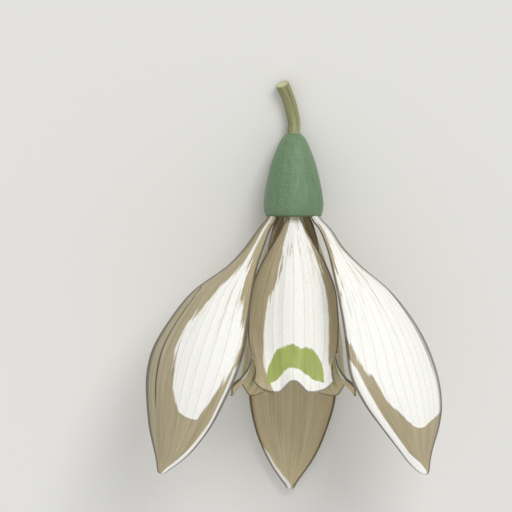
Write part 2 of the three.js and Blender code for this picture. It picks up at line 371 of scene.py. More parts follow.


# Petal tissue: white cells full of air over clear ones. Light goes in and comes out softly and the
# surface has a satin lustre. The shade on it is painted in, as a greyish taupe over the shaded
# stretches.
tissue = {
    "white": "#f7f6f1",
    # painted shade: two taupes mottled together for the outside, and two lighter ones for the inside
    "paintedShadeTaupes": (("#baae91", "#a99d7d"), ("#d3c6a4", "#c3b48f")),  # outside and inside
    "vein": "#c9c4ad",
    # the line colour is painted shade in the folds and along the edges
    "line": "#463b28",
    "finish": {"Roughness": 0.5, "IOR": 1.4, "Subsurface Weight": 0.35,
               "Subsurface Radius": (1, 0.9, 0.75), "Subsurface Scale": 0.0004,
               "Sheen Weight": 0.06},
    "fibresAcross": 22,  # noise cells across the whole blade and along it
    "fibresAlong": 5,
    "grain": 0.1,  # size of the groups of cells that catch the light
    "border": 0.01,  # softness of the shade's edge
}


def paintedShadeShare(add, marks, strength):
    # painted shade: it ends in loose fibres towards the claw and in a clean border towards the tip
    fray = add("MapRange", {"Value": marks["along"], "From Min": 0.2, "From Max": 0.6,
                            "To Min": 0.5, "To Max": 0.06})
    offset = add("Math", {0: marks["fibre"], 1: 0.5}, operation="SUBTRACT")
    ragged = add("Math", {0: offset, 1: fray, 2: marks["shade"]}, operation="MULTIPLY_ADD")
    inShade = add("MapRange", {"Value": ragged, "From Min": -tissue["border"],
                               "From Max": tissue["border"]}, interpolation_type="SMOOTHSTEP")
    clawward = add("MapRange", {"Value": marks["along"], "From Min": 0.46, "From Max": 0.14})
    thread = add("MapRange", {"Value": marks["fibre"], "From Min": 0.54, "From Max": 0.6,
                              "To Max": 0.9}, interpolation_type="SMOOTHSTEP")
    threads = add("Math", {0: clawward, 1: thread}, operation="MULTIPLY")
    either = add("Math", {0: inShade, 1: threads}, operation="MAXIMUM")
    offRim = add("MapRange", {"Value": marks["pale"], "From Min": -tissue["border"],
                              "From Max": tissue["border"], "To Min": strength, "To Max": 0.0},
                 interpolation_type="SMOOTHSTEP")
    return add("Math", {0: either, 1: offRim}, operation="MULTIPLY")


def paintedShadeLineShare(add, marks, strength):
    # painted shade: a thin brown line darkens the folds, the margins and the tip, fainter where the
    # painted shade is weak
    faint = math.sqrt(strength)
    offFold = add("Math", {0: marks["fold"]}, operation="ABSOLUTE")
    fold = add("MapRange", {"Value": offFold, "From Min": 1.0, "From Max": 0.45, "To Max": 0.9 * faint})
    margin = add("MapRange", {"Value": marks["rim"], "From Min": 0.0, "From Max": 0.5,
                              "To Max": 0.85 * faint})
    tip = add("MapRange", {"Value": marks["along"], "From Min": 0.985, "From Max": 0.995,
                           "To Max": 0.75 * faint})
    edges = add("Math", {0: margin, 1: tip}, operation="MAXIMUM")
    return add("Math", {0: edges, 1: fold}, operation="MAXIMUM")


def petalTissue(name, seed, strength, paintedShadeTaupes, green):
    # strength is that of the painted shade in taupe, and green adds the marks of an inner petal
    material, shader, add = newMaterial(name, tissue["finish"])
    marks = {mark: add("Attribute", attribute_name=mark).outputs["Fac"]
             for mark in ("across", "along", "veinPhase", "shade", "pale", "fold", "rim")}
    fibrePlace = add("CombineXYZ", {
        "X": add("Math", {0: marks["across"], 1: tissue["fibresAcross"] / 2}, operation="MULTIPLY"),
        "Y": add("Math", {0: marks["along"], 1: tissue["fibresAlong"]}, operation="MULTIPLY"),
        "Z": seed + 0.5,
    })
    marks["fibre"] = add("TexNoise", {"Vector": fibrePlace, "Scale": 1.0, "Detail": 4.0,
                                      "Roughness": 0.6})
    turned = add("Math", {0: marks["veinPhase"], 1: math.pi}, operation="MULTIPLY")
    marks["veinWave"] = add("Math", {0: turned}, operation="COSINE")
    grain = add("TexNoise", {"Vector": bloomSpace(add), "Scale": 1 / tissue["grain"], "Detail": 1.0})

    # painted shade: taupe laid over the white wherever the shade mask lies
    mottle = add("MapRange", {"Value": marks["fibre"], "From Min": 0.35, "From Max": 0.65})
    paintedShadeTaupe = add("Mix", {"Factor": mottle, "A": linear(paintedShadeTaupes[0]), "B": linear(paintedShadeTaupes[1])},
                data_type="RGBA")
    colour = add("Mix", {"Factor": paintedShadeShare(add, marks, strength), "A": linear(tissue["white"]),
                         "B": paintedShadeTaupe}, data_type="RGBA")
    # veins are thin lines where a wave across the blade peaks
    vein = add("MapRange", {"Value": marks["veinWave"], "From Min": 0.86, "From Max": 1.0,
                            "To Max": 0.3}, interpolation_type="SMOOTHSTEP")
    colour = add("Mix", {"Factor": vein, "A": colour, "B": linear(tissue["vein"])},
                 data_type="RGBA", blend_type="MULTIPLY")
    if green:
        colour = green(add, colour, marks)
    speckle = add("MapRange", {"Value": grain, "From Min": 0.3, "From Max": 0.7,
                               "To Min": 0.93, "To Max": 1.04})
    colour = add("Mix", {"Factor": 1.0, "A": colour, "B": speckle}, data_type="RGBA",
                 blend_type="MULTIPLY")
    # the brown line of painted shade over the folds and the edges
    colour = add("Mix", {"Factor": paintedShadeLineShare(add, marks, strength), "A": colour,
                         "B": linear(tissue["line"])}, data_type="RGBA")
    feed(colour, shader.inputs["Base Color"])

    height = add("Math", {0: marks["fibre"], 1: grain}, operation="ADD")
    bump = add("Bump", {"Height": height, "Strength": 0.3, "Distance": 0.06 * mm})
    feed(bump, shader.inputs["Normal"])
    return material


def makePetal(whorl, side, surface, drawing, seed, greens=(None, None), tipRounding=0):
    # whorl is outer or inner, and greens colour the outside and the inside of an inner petal
    skins = []
    for face, strength, paintedShadeTaupes, green in zip(("outside", "inside"), drawing["strengths"],
                                             tissue["paintedShadeTaupes"], greens):
        name = whorl + " petal tissue, " + face + ", " + side
        skins.append(petalTissue(name, seed, strength, paintedShadeTaupes, green))
    blade = makeBlade(whorl + "Petal_" + side, surface, drawing, seed, skins, tipRounding)
    settle(blade, whorl + "_petal_" + side)


# Outer petals, one row a level below the ovary: depth of the level, near edge, far edge and how
# far the midrib stands from the axis. Side petals are measured sideways and forwards.
outerPetals = {
    "left": [(0.25, 1.18, 2.1, 1.09), (1.18, 1.81, 2.9, 1.85), (2.77, 2.39, 4.08, 2.77),
             (4.37, 2.94, 5.6, 3.7), (6.38, 3.34, 8.36, 4.7), (8.57, 3.63, 10.21, 5.54),
             (10.92, 3.97, 11.61, 6.13), (13.27, 4.69, 12.21, 6.47), (15.46, 5.71, 12.25, 6.55),
             (17.47, 6.8, 12.04, 6.38), (19.24, 8.15, 11.66, 6.13), (20.3, 9.3, 11.42, 5.85),
             (20.95, 10.2, 11.34, 5.68), (21.48, 10.8, 11.26, 5.58)],
    "right": [(0.25, 1.18, 2.1, 1.09), (1.18, 2.0, 3.07, 1.85), (2.77, 2.65, 4.16, 2.77),
              (4.37, 3.07, 5.71, 3.7), (6.38, 3.53, 8.06, 4.7), (8.57, 3.95, 9.83, 5.54),
              (10.92, 4.28, 11.17, 6.13), (13.27, 4.62, 12.01, 6.47), (15.46, 5.71, 12.29, 6.55),
              (17.47, 7.18, 12.1, 6.38), (19.24, 8.57, 11.6, 6.13), (20.3, 9.4, 11.36, 5.85),
              (20.98, 10.07, 11.28, 5.66), (21.56, 10.8, 11.22, 5.56)],
    # the rear petal's edges are measured to the left and right, and its midrib backwards
    "rear": [(0.25, -0.5, 0.5, 1.85), (1.18, -0.63, 0.63, 2.52), (2.77, -0.95, 0.95, 3.42),
             (4.37, -1.55, 1.55, 4.14), (6.38, -2.35, 2.35, 4.9), (8.57, -3.0, 3.0, 5.79),
             (10.92, -3.42, 3.4, 6.6), (13.27, -3.6, 3.5, 7.28), (15.46, -3.55, 3.38, 7.76),
             (17.47, -3.17, 2.83, 8.18), (19.24, -2.58, 2.15, 8.46), (20.75, -1.85, 1.31, 8.66),
             (21.98, -1.01, 0.42, 8.78), (22.6, -0.54, 0.02, 8.82), (23.02, -0.35, -0.19, 8.84)],
    "edgeInset": 0.17,
    "sideCup": 0.42,  # how deep the dish is, as a share of the half width
    "rearCup": 0.4,
    "rearFlatness": 3.2,  # above 2, the middle of the rear petal is flatter than its edges
    "baseFacing": math.radians(57),  # the way a side petal faces at its claw, from straight ahead
    "bellyFacing": math.radians(38),
    "facingDone": 8,  # the turn is complete this far below the ovary
    "flatBlend": 0.12,  # height over which the rear petal leaves the surface that it lies on
    "tipRounding": 0.045,  # the last share of the length, which is rounded off
}

# Rows of (along, share of the blade's width), for stretches that reach in from an edge
nowhere = [(0, -1)]
everywhere = [(0, 1.2)]
# widths of the brown line of painted shade, widest near the claw on a far edge, which turns away
nearLine = [(0, 0.03)]
farLine = [(0.05, 0.33), (0.15, 0.33), (0.2, 0.26), (0.3, 0.14), (0.4, 0.11)]  # turned away
evenLine = [(0, 0.035)]

# What is drawn on the outer petals: such rows for the brown line and the taupe, both painted shade,
# and for the pale rim, a lit strip that the painted shade leaves out, each for the left edge and the
# right one, and for where the fold of the outer margin runs.
outerDrawing = {
    "left": {
        "strengths": (1.0, 0.35),  # how strong the shade is outside and inside
        "veins": 11,
        "line": (farLine, nearLine),
        "shade": ([(0, 0.6), (0.18, 0.68), (0.25, 0.66), (0.31, 0.55), (0.36, 0.47), (0.41, 0.42),
                   (0.46, 0.41), (0.52, 0.43), (0.57, 0.48), (0.62, 0.54), (0.645, 0.59),
                   (0.66, 0.67), (0.673, 0.82), (0.68, 1.1)],
                  [(0, 0.3), (0.18, 0.23), (0.25, 0.16), (0.31, 0.07), (0.36, 0.04), (0.46, 0.03),
                   (0.52, 0.06), (0.57, 0.08), (0.625, 0.13), (0.675, 0.19), (0.7, 0.3)]),
        "pale": (nowhere,
                 [(0, -0.1), (0.47, -0.05), (0.52, 0.035), (0.68, 0.045), (0.754, 0.075),
                  (0.833, 0.14), (0.92, 0.22), (1, 0.3)]),
        "fold": [(0.25, -0.05), (0.28, 0.05), (0.3, 0.17), (0.33, 0.23), (0.39, 0.22), (0.47, 0.22),
                 (0.55, 0.235), (0.65, 0.25)],
        "foldStrength": [(0.26, 0), (0.3, 1), (0.5, 1), (0.6, 0.7), (0.64, 0)],
    },
    "right": {
        "strengths": (1.0, 0.35),
        "veins": 11,
        "line": (nearLine, farLine),
        "shade": ([(0, 0.12), (0.3, 0.04), (0.43, -0.02), (0.45, 0.02), (0.47, 0.06), (0.5, 0.09),
                   (0.525, 0.12), (0.553, 0.165), (0.582, 0.185), (0.612, 0.2), (0.641, 0.26),
                   (0.672, 0.33), (0.69, 0.4), (0.705, 0.5), (0.717, 1.1)],
                  [(0, 0), (0.62, 0), (0.645, 0.05), (0.66, 0.15), (0.675, 0.28), (0.695, 0.4),
                   (0.717, 0.8)]),
        "pale": ([(0, -0.1), (0.47, -0.05), (0.5, 0.025), (0.525, 0.065), (0.553, 0.08),
                  (0.612, 0.096), (0.672, 0.1), (0.711, 0.114), (0.747, 0.138), (0.794, 0.175),
                  (0.83, 0.26), (0.87, 0.38), (0.96, 0.52)],
                 nowhere),
        "fold": [(0.25, 1.05), (0.3, 0.93), (0.4, 0.9), (0.6, 0.89)],
        "foldStrength": [(0.28, 0), (0.34, 0.8), (0.5, 0.7), (0.57, 0)],
    },
    "rear": {
        "strengths": (0.15, 1.0),
        "veins": 11,
        "line": (evenLine, evenLine),
        "shade": (everywhere, everywhere),
        "pale": (nowhere,
                 [(0, -0.1), (0.7, -0.05), (0.72, 0.03), (0.75, 0.07), (0.8, 0.09), (0.84, 0.14),
                  (0.87, 0.26), (0.9, 0.42), (0.94, 0.6), (1, 0.75)]),
    },
}


def clawLevel(level, along):
    # the first stretch of a blade is drawn up into the ovary
    return level - petals["clawDepth"] * (1 - smooth(along, 0, petals["clawEnd"]))


def sideSurface(table, hand):
    def surface(along, across):
        level, near, far, out = alongTable(table, along)
        near += outerPetals["edgeInset"] / 2
        far -= outerPetals["edgeInset"]
        turn = smooth(level, 0, outerPetals["facingDone"])
        facing = outerPetals["baseFacing"] * (1 - turn) + outerPetals["bellyFacing"] * turn
        half = (far - near) / 2
        cup = outerPetals["sideCup"] * half / math.cos(facing)
        toFar = hand * across
        dish = cup * toFar ** 2
        sideways = (near + far) / 2 + half * toFar + (cup - dish) * math.sin(facing)
        forwards = out - half * math.tan(facing) * toFar - dish * math.cos(facing)
        return Vector((hand * sideways, -clawLevel(level, along), forwards))
    return surface


def rearSurface(along, across):
    level, left, right, out = alongTable(outerPetals["rear"], along)
    half = (right - left) / 2
    dish = outerPetals["rearCup"] * half * abs(across) ** outerPetals["rearFlatness"]
    # seen from outside, which is from behind, left and right change places
    x = (left + right) / 2 - half * across
    point = Vector((x, -clawLevel(level, along), dish - out))
    lean = bloom["lean"]
    height = place.translation.z / mm - point.y * math.sin(lean) + point.z * math.cos(lean)
    above = height - petals["cadHalfThickness"]
    blend = outerPetals["flatBlend"]
    if above < blend:
        pressed = 0 if above <= -blend else (above + blend) ** 2 / (4 * blend)
        point.z += (pressed - above) / math.cos(lean)
    return point


def makeOuterPetals():
    surfaces = {
        "left": sideSurface(outerPetals["left"], -1),
        "right": sideSurface(outerPetals["right"], 1),
        "rear": rearSurface,
    }
    for seed, (side, surface) in enumerate(surfaces.items()):
        makePetal("outer", side, surface, outerDrawing[side], seed,
                  tipRounding=outerPetals["tipRounding"])


makeOuterPetals()
print("outer petals made")


# The bell of inner petals: depth of the level, radius of the bell, half of a petal's arc.
innerPetals = {
    "bell": [(0.25, 1.26, 24), (1.18, 1.52, 36), (2.52, 2.02, 47), (4.2, 2.6, 56),
             (6.3, 3.15, 62), (8.4, 3.53, 61), (10.5, 3.82, 57), (12.43, 4.03, 51),
             (13.86, 4.42, 47), (14.87, 5.0, 44)],
    "notchDepth": 1.0,
    "notchHalfWidth": 0.22,  # as a share of the half width
    "roundness": 5,  # the higher it is, the nearer the corners of the lip keep to a right angle
    "lap": 0.48,  # how far an edge stands off its neighbour
    "lapAcross": (0.3, 0.95),  # where that starts and where it is whole
    "lapAlong": (0.1, 0.45),
    "curlFrom": 0.8,
    "narrowingFrom": 0.7,
    # turn is where a petal stands round the axis, and laps says whether its left and right edges
    # pass outside its neighbours. The front lip closes a little and the other two flare out.
    "front": {"turn": 0, "laps": (1, 1), "length": 14.87, "rounding": 1.2, "curl": 0.3,
              "narrowing": 0.14},
    "left": {"turn": -120, "laps": (1, -1), "length": 15.2, "rounding": 0.85, "curl": 0.7,
             "narrowing": 0},
    "right": {"turn": 120, "laps": (-1, -1), "length": 15.2, "rounding": 0.85, "curl": 0.7,
              "narrowing": 0},
    "green": "#aab65e",
    "deepGreen": "#95a64c",
    "stripeGreen": "#8fa255",
}

# The green mark is an arch over the notch: its upper and lower borders are (share of its half
# span, along) rows.
greenArch = {
    "greenMiddle": 0.04,
    "greenSpan": 0.73,
    "greenTop": [(0, 0.726), (0.14, 0.717), (0.28, 0.703), (0.42, 0.7), (0.56, 0.71), (0.7, 0.737),
                 (0.83, 0.775), (0.93, 0.835), (1, 0.922)],
    "greenBottom": [(0, 0.876), (0.14, 0.865), (0.28, 0.852), (0.42, 0.855), (0.56, 0.873),
                    (0.7, 0.893), (0.83, 0.917), (0.93, 0.934), (1, 0.94)],
}
# What is drawn on the inner petals: the same rows for the brown line and the taupe of painted shade,
# and for the pale rim
innerDrawing = {
    "front": {
        "strengths": (1.0, 0.3),
        "veins": 9,
        "line": (evenLine, evenLine),
        "shade": ([(0, 0.3), (0.17, 0.25), (0.29, 0.32), (0.39, 0.29), (0.48, 0.22), (0.57, 0.19),
                   (0.66, 0.18), (0.8, 0.16), (0.9, 0.2), (1, 0.25)],
                  [(0, 0.05), (0.2, 0.06), (0.3, 0.1), (0.5, 0.13), (0.7, 0.13), (0.8, 0.09),
                   (0.88, 0.03), (0.93, -0.02)]),
        "pale": (nowhere, nowhere),
        **greenArch,
    },
    "left": {
        "strengths": (1.0, 1.0),
        "veins": 9,
        "line": (evenLine, evenLine),
        "shade": ([(0, 0.1), (0.4, 0.05), (1, 0.08)],
                  [(0, 0.8), (0.3, 0.6), (0.55, 0.52), (0.66, 0.55), (0.74, 0.61), (0.8, 0.7),
                   (0.84, 0.8), (0.87, 0.95), (0.89, 1.1)]),
        "pale": (nowhere, [(0, 0.05), (0.6, 0.06), (0.9, 0.04), (1, -0.1)]),
        **greenArch,
    },
}
# the right petal mirrors the left one
innerDrawing["right"] = {**innerDrawing["left"], "shade": innerDrawing["left"]["shade"][::-1],
                         "pale": innerDrawing["left"]["pale"][::-1]}


def innerSurface(lip):
    turn = Matrix.Rotation(math.radians(lip["turn"]), 3, "Y")
    bellLength = innerPetals["bell"][-1][0]

    def surface(along, across):
        side = abs(across)
        notch = innerPetals["notchDepth"] * math.exp(-((across / innerPetals["notchHalfWidth"]) ** 2))
        end = lip["length"] - notch - lip["rounding"] * side ** innerPetals["roundness"]
        bellLevel, radius, arc = alongTable(innerPetals["bell"], along)
        level = clawLevel(bellLevel * end / bellLength, along)
        lap = lip["laps"][0] if across < 0 else lip["laps"][1]
        lap *= smooth(side, *innerPetals["lapAcross"]) * smooth(along, *innerPetals["lapAlong"])
        radius += lap * innerPetals["lap"]
        radius += lip["curl"] * smooth(along, innerPetals["curlFrom"], 1) * side * side
        arc *= 1 - lip["narrowing"] * smooth(along, innerPetals["narrowingFrom"], 1)
        angle = math.radians(arc) * across
        return turn @ Vector((radius * math.sin(angle), -level, radius * math.cos(angle)))
    return surface


def greenMark(add, colour, marks):
    # outside, an arch of green over the notch
    within = add("Attribute", attribute_name="green").outputs["Fac"]
    wobble = add("Math", {0: marks["fibre"], 1: 0.5}, operation="SUBTRACT")
    ragged = add("Math", {0: wobble, 1: 0.05, 2: within}, operation="MULTIPLY_ADD")
    mask = add("MapRange", {"Value": ragged, "From Min": -0.004, "From Max": 0.008, "To Max": 0.96},
               interpolation_type="SMOOTHSTEP")
    depth = add("MapRange", {"Value": marks["fibre"], "From Min": 0.4, "From Max": 0.65})
    green = add("Mix", {"Factor": depth, "A": linear(innerPetals["green"]),
                        "B": linear(innerPetals["deepGreen"])}, data_type="RGBA")
    return add("Mix", {"Factor": mask, "A": colour, "B": green}, data_type="RGBA")


def greenStripes(add, colour, marks):
    # inside, green lines follow the veins down to the lip
    line = add("MapRange", {"Value": marks["veinWave"], "From Min": -0.1, "From Max": 0.5},
               interpolation_type="SMOOTHSTEP")
    start = add("MapRange", {"Value": marks["along"], "From Min": 0.3, "From Max": 0.5})
    end = add("MapRange", {"Value": marks["along"], "From Min": 0.96, "From Max": 0.9})
    fromMiddle = add("Math", {0: marks["across"]}, operation="ABSOLUTE")
    middle = add("MapRange", {"Value": fromMiddle, "From Min": 0.75, "From Max": 0.55, "To Max": 0.85})
    stretch = add("Math", {0: start, 1: end}, operation="MULTIPLY")
    where = add("Math", {0: stretch, 1: middle}, operation="MULTIPLY")
    mask = add("Math", {0: where, 1: line}, operation="MULTIPLY")
    return add("Mix", {"Factor": mask, "A": colour, "B": linear(innerPetals["stripeGreen"])},
               data_type="RGBA")


def makeInnerPetals():
    for seed, side in enumerate(("front", "left", "right"), start=5):
        makePetal("inner", side, innerSurface(innerPetals[side]), innerDrawing[side], seed,
                  greens=(greenMark, greenStripes))


makeInnerPetals()
print("inner petals made")


def growRings(name, sides, outline):
    # a small disc, extruded upwards and resized ring by ring: (radius, height) each
    bpy.ops.object.select_all(action="DESELECT")
    radius, height = outline[0]
    bpy.ops.mesh.primitive_circle_add(vertices=sides, radius=radius, fill_type="NGON")
    piece = bpy.context.object
    piece.name = name
    bpy.ops.object.mode_set(mode="EDIT")
    bpy.ops.mesh.select_all(action="SELECT")
    bpy.ops.transform.translate(value=(0, 0, height))
    for nextRadius, nextHeight in outline[1:]:
        bpy.ops.mesh.extrude_region_move(TRANSFORM_OT_translate={"value": (0, 0, nextHeight - height)})
        share = nextRadius / radius
        bpy.ops.transform.resize(value=(share, share, 1), center_override=(0, 0, nextHeight))
        radius, height = nextRadius, nextHeight
    bpy.ops.mesh.select_all(action="SELECT")
    bpy.ops.mesh.normals_make_consistent(inside=False)
    bpy.ops.object.mode_set(mode="OBJECT")
    bpy.ops.object.shade_smooth()
    return piece


def bendRings(piece, form):
    # every corner of the straight rings goes to its place on the bloom
    for corner in piece.data.vertices:
        corner.co = place @ (form(*corner.co) * mm)
        corner.co.z = max(corner.co.z, 0)


# Ovary skin: a smooth green fruit wall under a dull film of wax, with grains of it that catch the
# light, paler towards the stalk, and darker at its lower rim where the petals join, as painted shade.
def ovarySkin():
    material, shader, add = newMaterial("ovary skin, waxy", {
        "Roughness": 0.42,
        "IOR": 1.45,
        "Subsurface Weight": 0.12,
        "Subsurface Radius": (0.6, 1, 0.4),
        "Subsurface Scale": 0.0004,
        "Coat Weight": 0.12,
        "Coat Roughness": 0.45,
    })
    space = bloomSpace(add)
    height = add("SeparateXYZ", {"Vector": space}).outputs["Y"]
    stretched = add("Mapping", {"Vector": space, "Scale": ovary["streaks"]})
    streak = add("TexNoise", {"Vector": stretched, "Scale": 1.0, "Detail": 4.0})
    grain = add("TexNoise", {"Vector": space, "Scale": 1 / ovary["grain"], "Detail": 2.0})
    rise = add("MapRange", {"Value": height, "From Min": 3.0, "From Max": 7.0})
    colour = add("Mix", {"Factor": rise, "A": linear(ovary["skin"]), "B": linear(ovary["topSkin"])},
                 data_type="RGBA")
    dark = add("MapRange", {"Value": streak, "From Min": 0.5, "From Max": 0.68, "To Max": 0.6})
    colour = add("Mix", {"Factor": dark, "A": colour, "B": linear(ovary["lowSkin"])}, data_type="RGBA")
    dust = add("MapRange", {"Value": grain, "From Min": 0.56, "From Max": 0.66, "To Max": 0.4})
    colour = add("Mix", {"Factor": dust, "A": colour, "B": linear(ovary["waxGrain"])}, data_type="RGBA")
    # painted shade: the lower rim darkens where the petals join
    low = add("MapRange", {"Value": height, "From Min": 0.22, "From Max": 0.06, "To Max": 0.7})
    colour = add("Mix", {"Factor": low, "A": colour, "B": linear(ovary["rim"])}, data_type="RGBA")
    sideways = add("Mapping", {"Vector": space, "Scale": (1, 0, 1)})
    radius = add("VectorMath", {0: sideways}, operation="LENGTH")
    within = add("MapRange", {"Value": radius, "From Min": 2.0, "From Max": 1.8})
    under = add("MapRange", {"Value": height, "From Min": 0.45, "From Max": 0.35})
    hollow = add("Math", {0: within, 1: under}, operation="MULTIPLY")
    colour = add("Mix", {"Factor": hollow, "A": colour, "B": linear(ovary["nectar"])}, data_type="RGBA")
    feed(colour, shader.inputs["Base Color"])
    bump = add("Bump", {"Height": grain, "Strength": 0.5, "Distance": 0.05 * mm})
    feed(bump, shader.inputs["Normal"])
    return material


def makeOvary():
    table = ovary["dish"] + ovary["profile"] + ovary["top"]
    outline = [alongTable(table, k / ovary["rings"]) for k in range(ovary["rings"] + 1)]
    piece = growRings("ovary_body", ovary["sides"], outline)
    cells, cellsUp = ovary["unevenCells"]

    def form(x, y, z):
        angle = math.atan2(y, x)
        belly = smooth(z, *ovary["lobesStart"]) * (1 - smooth(z, *ovary["lobesEnd"]))
        swell = ovary["lobeDepth"] * math.cos(ovary["lobes"] * angle + math.pi / 2)
        rib = ovary["ribDepth"] * math.cos(ovary["ribs"] * angle)
        bumps = ovary["unevenness"] * noise.noise(Vector((x * cells, y * cells, z * cellsUp)))
        share = 1 + (swell + rib + bumps) * belly
        return Vector((x * share, z, -y * share))

    bendRings(piece, form)
    piece.data.materials.append(ovarySkin())
    settle(piece, "ovary")


makeOvary()
print("ovary made")


# Flower stalk: bends up and away from the ovary and is cut off across.
stalk = {
    "path": [(0.02, 6.75, 0), (0.02, 7.25, 0), (0.02, 8.05, 0.04), (-0.35, 9.65, 0.42),
             (-0.95, 11.12, 1.1)],
    "length": 4.7,
    "radius": 0.53,
    "collar": 0.1,  # it swells this much where it joins the ovary
    "collarEnd": 1.1,
    "flare": 0.04,  # and this much over the last stretch before the cut
    "flareFrom": 0.8,
    # the first and last rings: (share of the radius, height above the start or the end)
    "foot": [(0.2, 0), (0.9, 0.02)],
    "cutEdge": [(1, -0.02), (0.94, 0.03), (0.86, 0.02), (0.5, -0.01), (0.09, 0.01)],
    "rings": 70,
    "sides": 60,
    "ribs": 7,
    "ribDepth": 0.03,  # as a share of the radius
    "ribTurn": 1,
    "fibresAcross": 6,  # fibres to a millimetre across the stalk and along it
    "fibresAlong": 0.35,
    "bundle": 0.25,  # spacing of the bundles in the pith
    "pithShare": 0.9,  # the cut shows pith within this share of the radius
    "cutFacing": 0.5,  # and where it faces up the axis at least this much
    "skin": "#8f8f66",
    "dark": "#6d6c47",
    "light": "#a9a97c",
    "cut": "#c6c39b",
    "cutRim": "#6a6143",
}


def stalkSkin():
    # a firm ribbed skin: long fibres show as darker and lighter streaks
    material, shader, add = newMaterial("stalk skin, fibrous", {
        "Roughness": 0.48,
        "IOR": 1.42,
        "Subsurface Weight": 0.1,
        "Subsurface Radius": (0.8, 1, 0.4),
        "Subsurface Scale": 0.0003,
    })
    around = add("Attribute", attribute_name="around").outputs["Vector"]
    streak = add("TexNoise", {"Vector": around, "Scale": 1.0, "Detail": 3.0})
    lighter = add("MapRange", {"Value": streak, "From Min": 0.5, "From Max": 0.7, "To Max": 0.7})
    darker = add("MapRange", {"Value": streak, "From Min": 0.48, "From Max": 0.34, "To Max": 0.7})
    colour = add("Mix", {"Factor": lighter, "A": linear(stalk["skin"]),
                         "B": linear(stalk["light"])}, data_type="RGBA")
    colour = add("Mix", {"Factor": darker, "A": colour, "B": linear(stalk["dark"])}, data_type="RGBA")
    feed(colour, shader.inputs["Base Color"])
    bump = add("Bump", {"Height": streak, "Strength": 0.5, "Distance": 0.04 * mm})
    feed(bump, shader.inputs["Normal"])
    return material


def cutPith():
    # the wet cut: pale pith with darker bundles in it
    material, shader, add = newMaterial("stalk pith, cut", {"Roughness": 0.35})
    spots = add("TexVoronoi", {"Vector": bloomSpace(add), "Scale": 1 / stalk["bundle"]})
    spot = add("MapRange", {"Value": spots.outputs["Distance"], "From Min": 0.3, "From Max": 0.1,
                            "To Max": 0.6})
    colour = add("Mix", {"Factor": spot, "A": linear(stalk["cut"]), "B": linear(stalk["cutRim"])},
                 data_type="RGBA")
    feed(colour, shader.inputs["Base Color"])
    return material


def makeStalk():
    length, radius = stalk["length"], stalk["radius"]
    outline = [(radius * share, height) for share, height in stalk["foot"]]
    for k in range(1, stalk["rings"]):
        height = length * k / stalk["rings"]
        swell = stalk["collar"] * (1 - smooth(height, 0, stalk["collarEnd"]))
        flare = stalk["flare"] * smooth(height, length * stalk["flareFrom"], length)
        outline.append((radius + swell + flare, height))
    top = radius + stalk["flare"]
    outline += [(top * share, length + height) for share, height in stalk["cutEdge"]]
    piece = growRings("stalk_body", stalk["sides"], outline)

    def form(x, y, z):
        at = min(max(z / length, 0), 1)
        step = 0.01
        centre = Vector(alongTable(stalk["path"], at))
        ahead = Vector(alongTable(stalk["path"], min(at + step, 1)))
        along = (ahead - Vector(alongTable(stalk["path"], max(at - step, 0)))).normalized()
        right = along.cross(Vector((0, 0, 1))).normalized()
        front = right.cross(along)
        rib = 1 + stalk["ribDepth"] * math.cos(stalk["ribs"] * math.atan2(y, x) + stalk["ribTurn"])
        beyond = max(z - length, 0)
        return centre + along * beyond + right * x * rib - front * y * rib

    # the fibres keep to the straight stalk: their place is stored before it is bent
    across, lengthwise = stalk["fibresAcross"], stalk["fibresAlong"]
    straight = [value for corner in piece.data.vertices
                for value in (corner.co.x * across, corner.co.y * across, corner.co.z * lengthwise)]
    piece.data.attributes.new("around", "FLOAT_VECTOR", "POINT").data.foreach_set("vector", straight)
    bendRings(piece, form)
    piece.data.materials.append(stalkSkin())
    piece.data.materials.append(cutPith())
    settle(piece, "flower_stalk")
    cutPlace = place @ (Vector(stalk["path"][-1]) * mm)
    for face in piece.data.polygons:
        inCut = (face.center - cutPlace).length < radius * stalk["pithShare"] * mm
        if inCut and face.normal.y > stalk["cutFacing"]:
            face.material_index = 1


makeStalk()
print("stalk made")


# Stamens: a white thread that carries a two-lobed orange anther, which tapers to a bristle.
stamens = {
    "count": 6,
    "sides": 24,
    "rings": 60,
    "outline": [(0.1, -0.3), (0.12, 0.2), (0.11, 0.7), (0.11, 1.12), (0.2, 1.22), (0.3, 1.5),
                (0.35, 2.1), (0.35, 2.8), (0.33, 3.6), (0.28, 4.5), (0.22, 5.3), (0.15, 6.1),
                (0.085, 6.8), (0.03, 7.3)],
    "flatness": 0.8,
    "groove": 0.32,  # depth of the groove between the lobes, as a share of the radius
    "grooveHalfWidth": 0.35,
    "antherFrom": 1.18,
    "antherWhole": 1.7,
    "antherEnd": (5.5, 7),  # heights between which it tapers off to the bristle
    "lean": [(-0.3, 0.57), (2.1, 0.98), (7.3, 0.6)],  # (height, distance from the axis)
    "thread": "#eef0df",
    "threadDeep": "#d3dab4",
    "strand": 0.08,  # width of a strand of the thread
    "grains": 12,  # pollen grains to a millimetre
    "anther": "#e6a63c",
    "antherDeep": "#c17a22",
}


def antherSkin():
    # dry anther wall, dusted with pollen grains much finer than can be seen, so drawn coarser
    material, shader, add = newMaterial("anther wall, powdery", {"Roughness": 0.75})
    space = bloomSpace(add)
    grain = add("TexNoise", {"Vector": space, "Scale": stamens["grains"], "Detail": 3.0})
    share = add("MapRange", {"Value": grain, "From Min": 0.4, "From Max": 0.62})
    colour = add("Mix", {"Factor": share, "A": linear(stamens["anther"]),
                         "B": linear(stamens["antherDeep"])}, data_type="RGBA")
    feed(colour, shader.inputs["Base Color"])
    bump = add("Bump", {"Height": grain, "Strength": 0.8, "Distance": 0.05 * mm})
    feed(bump, shader.inputs["Normal"])
    return material


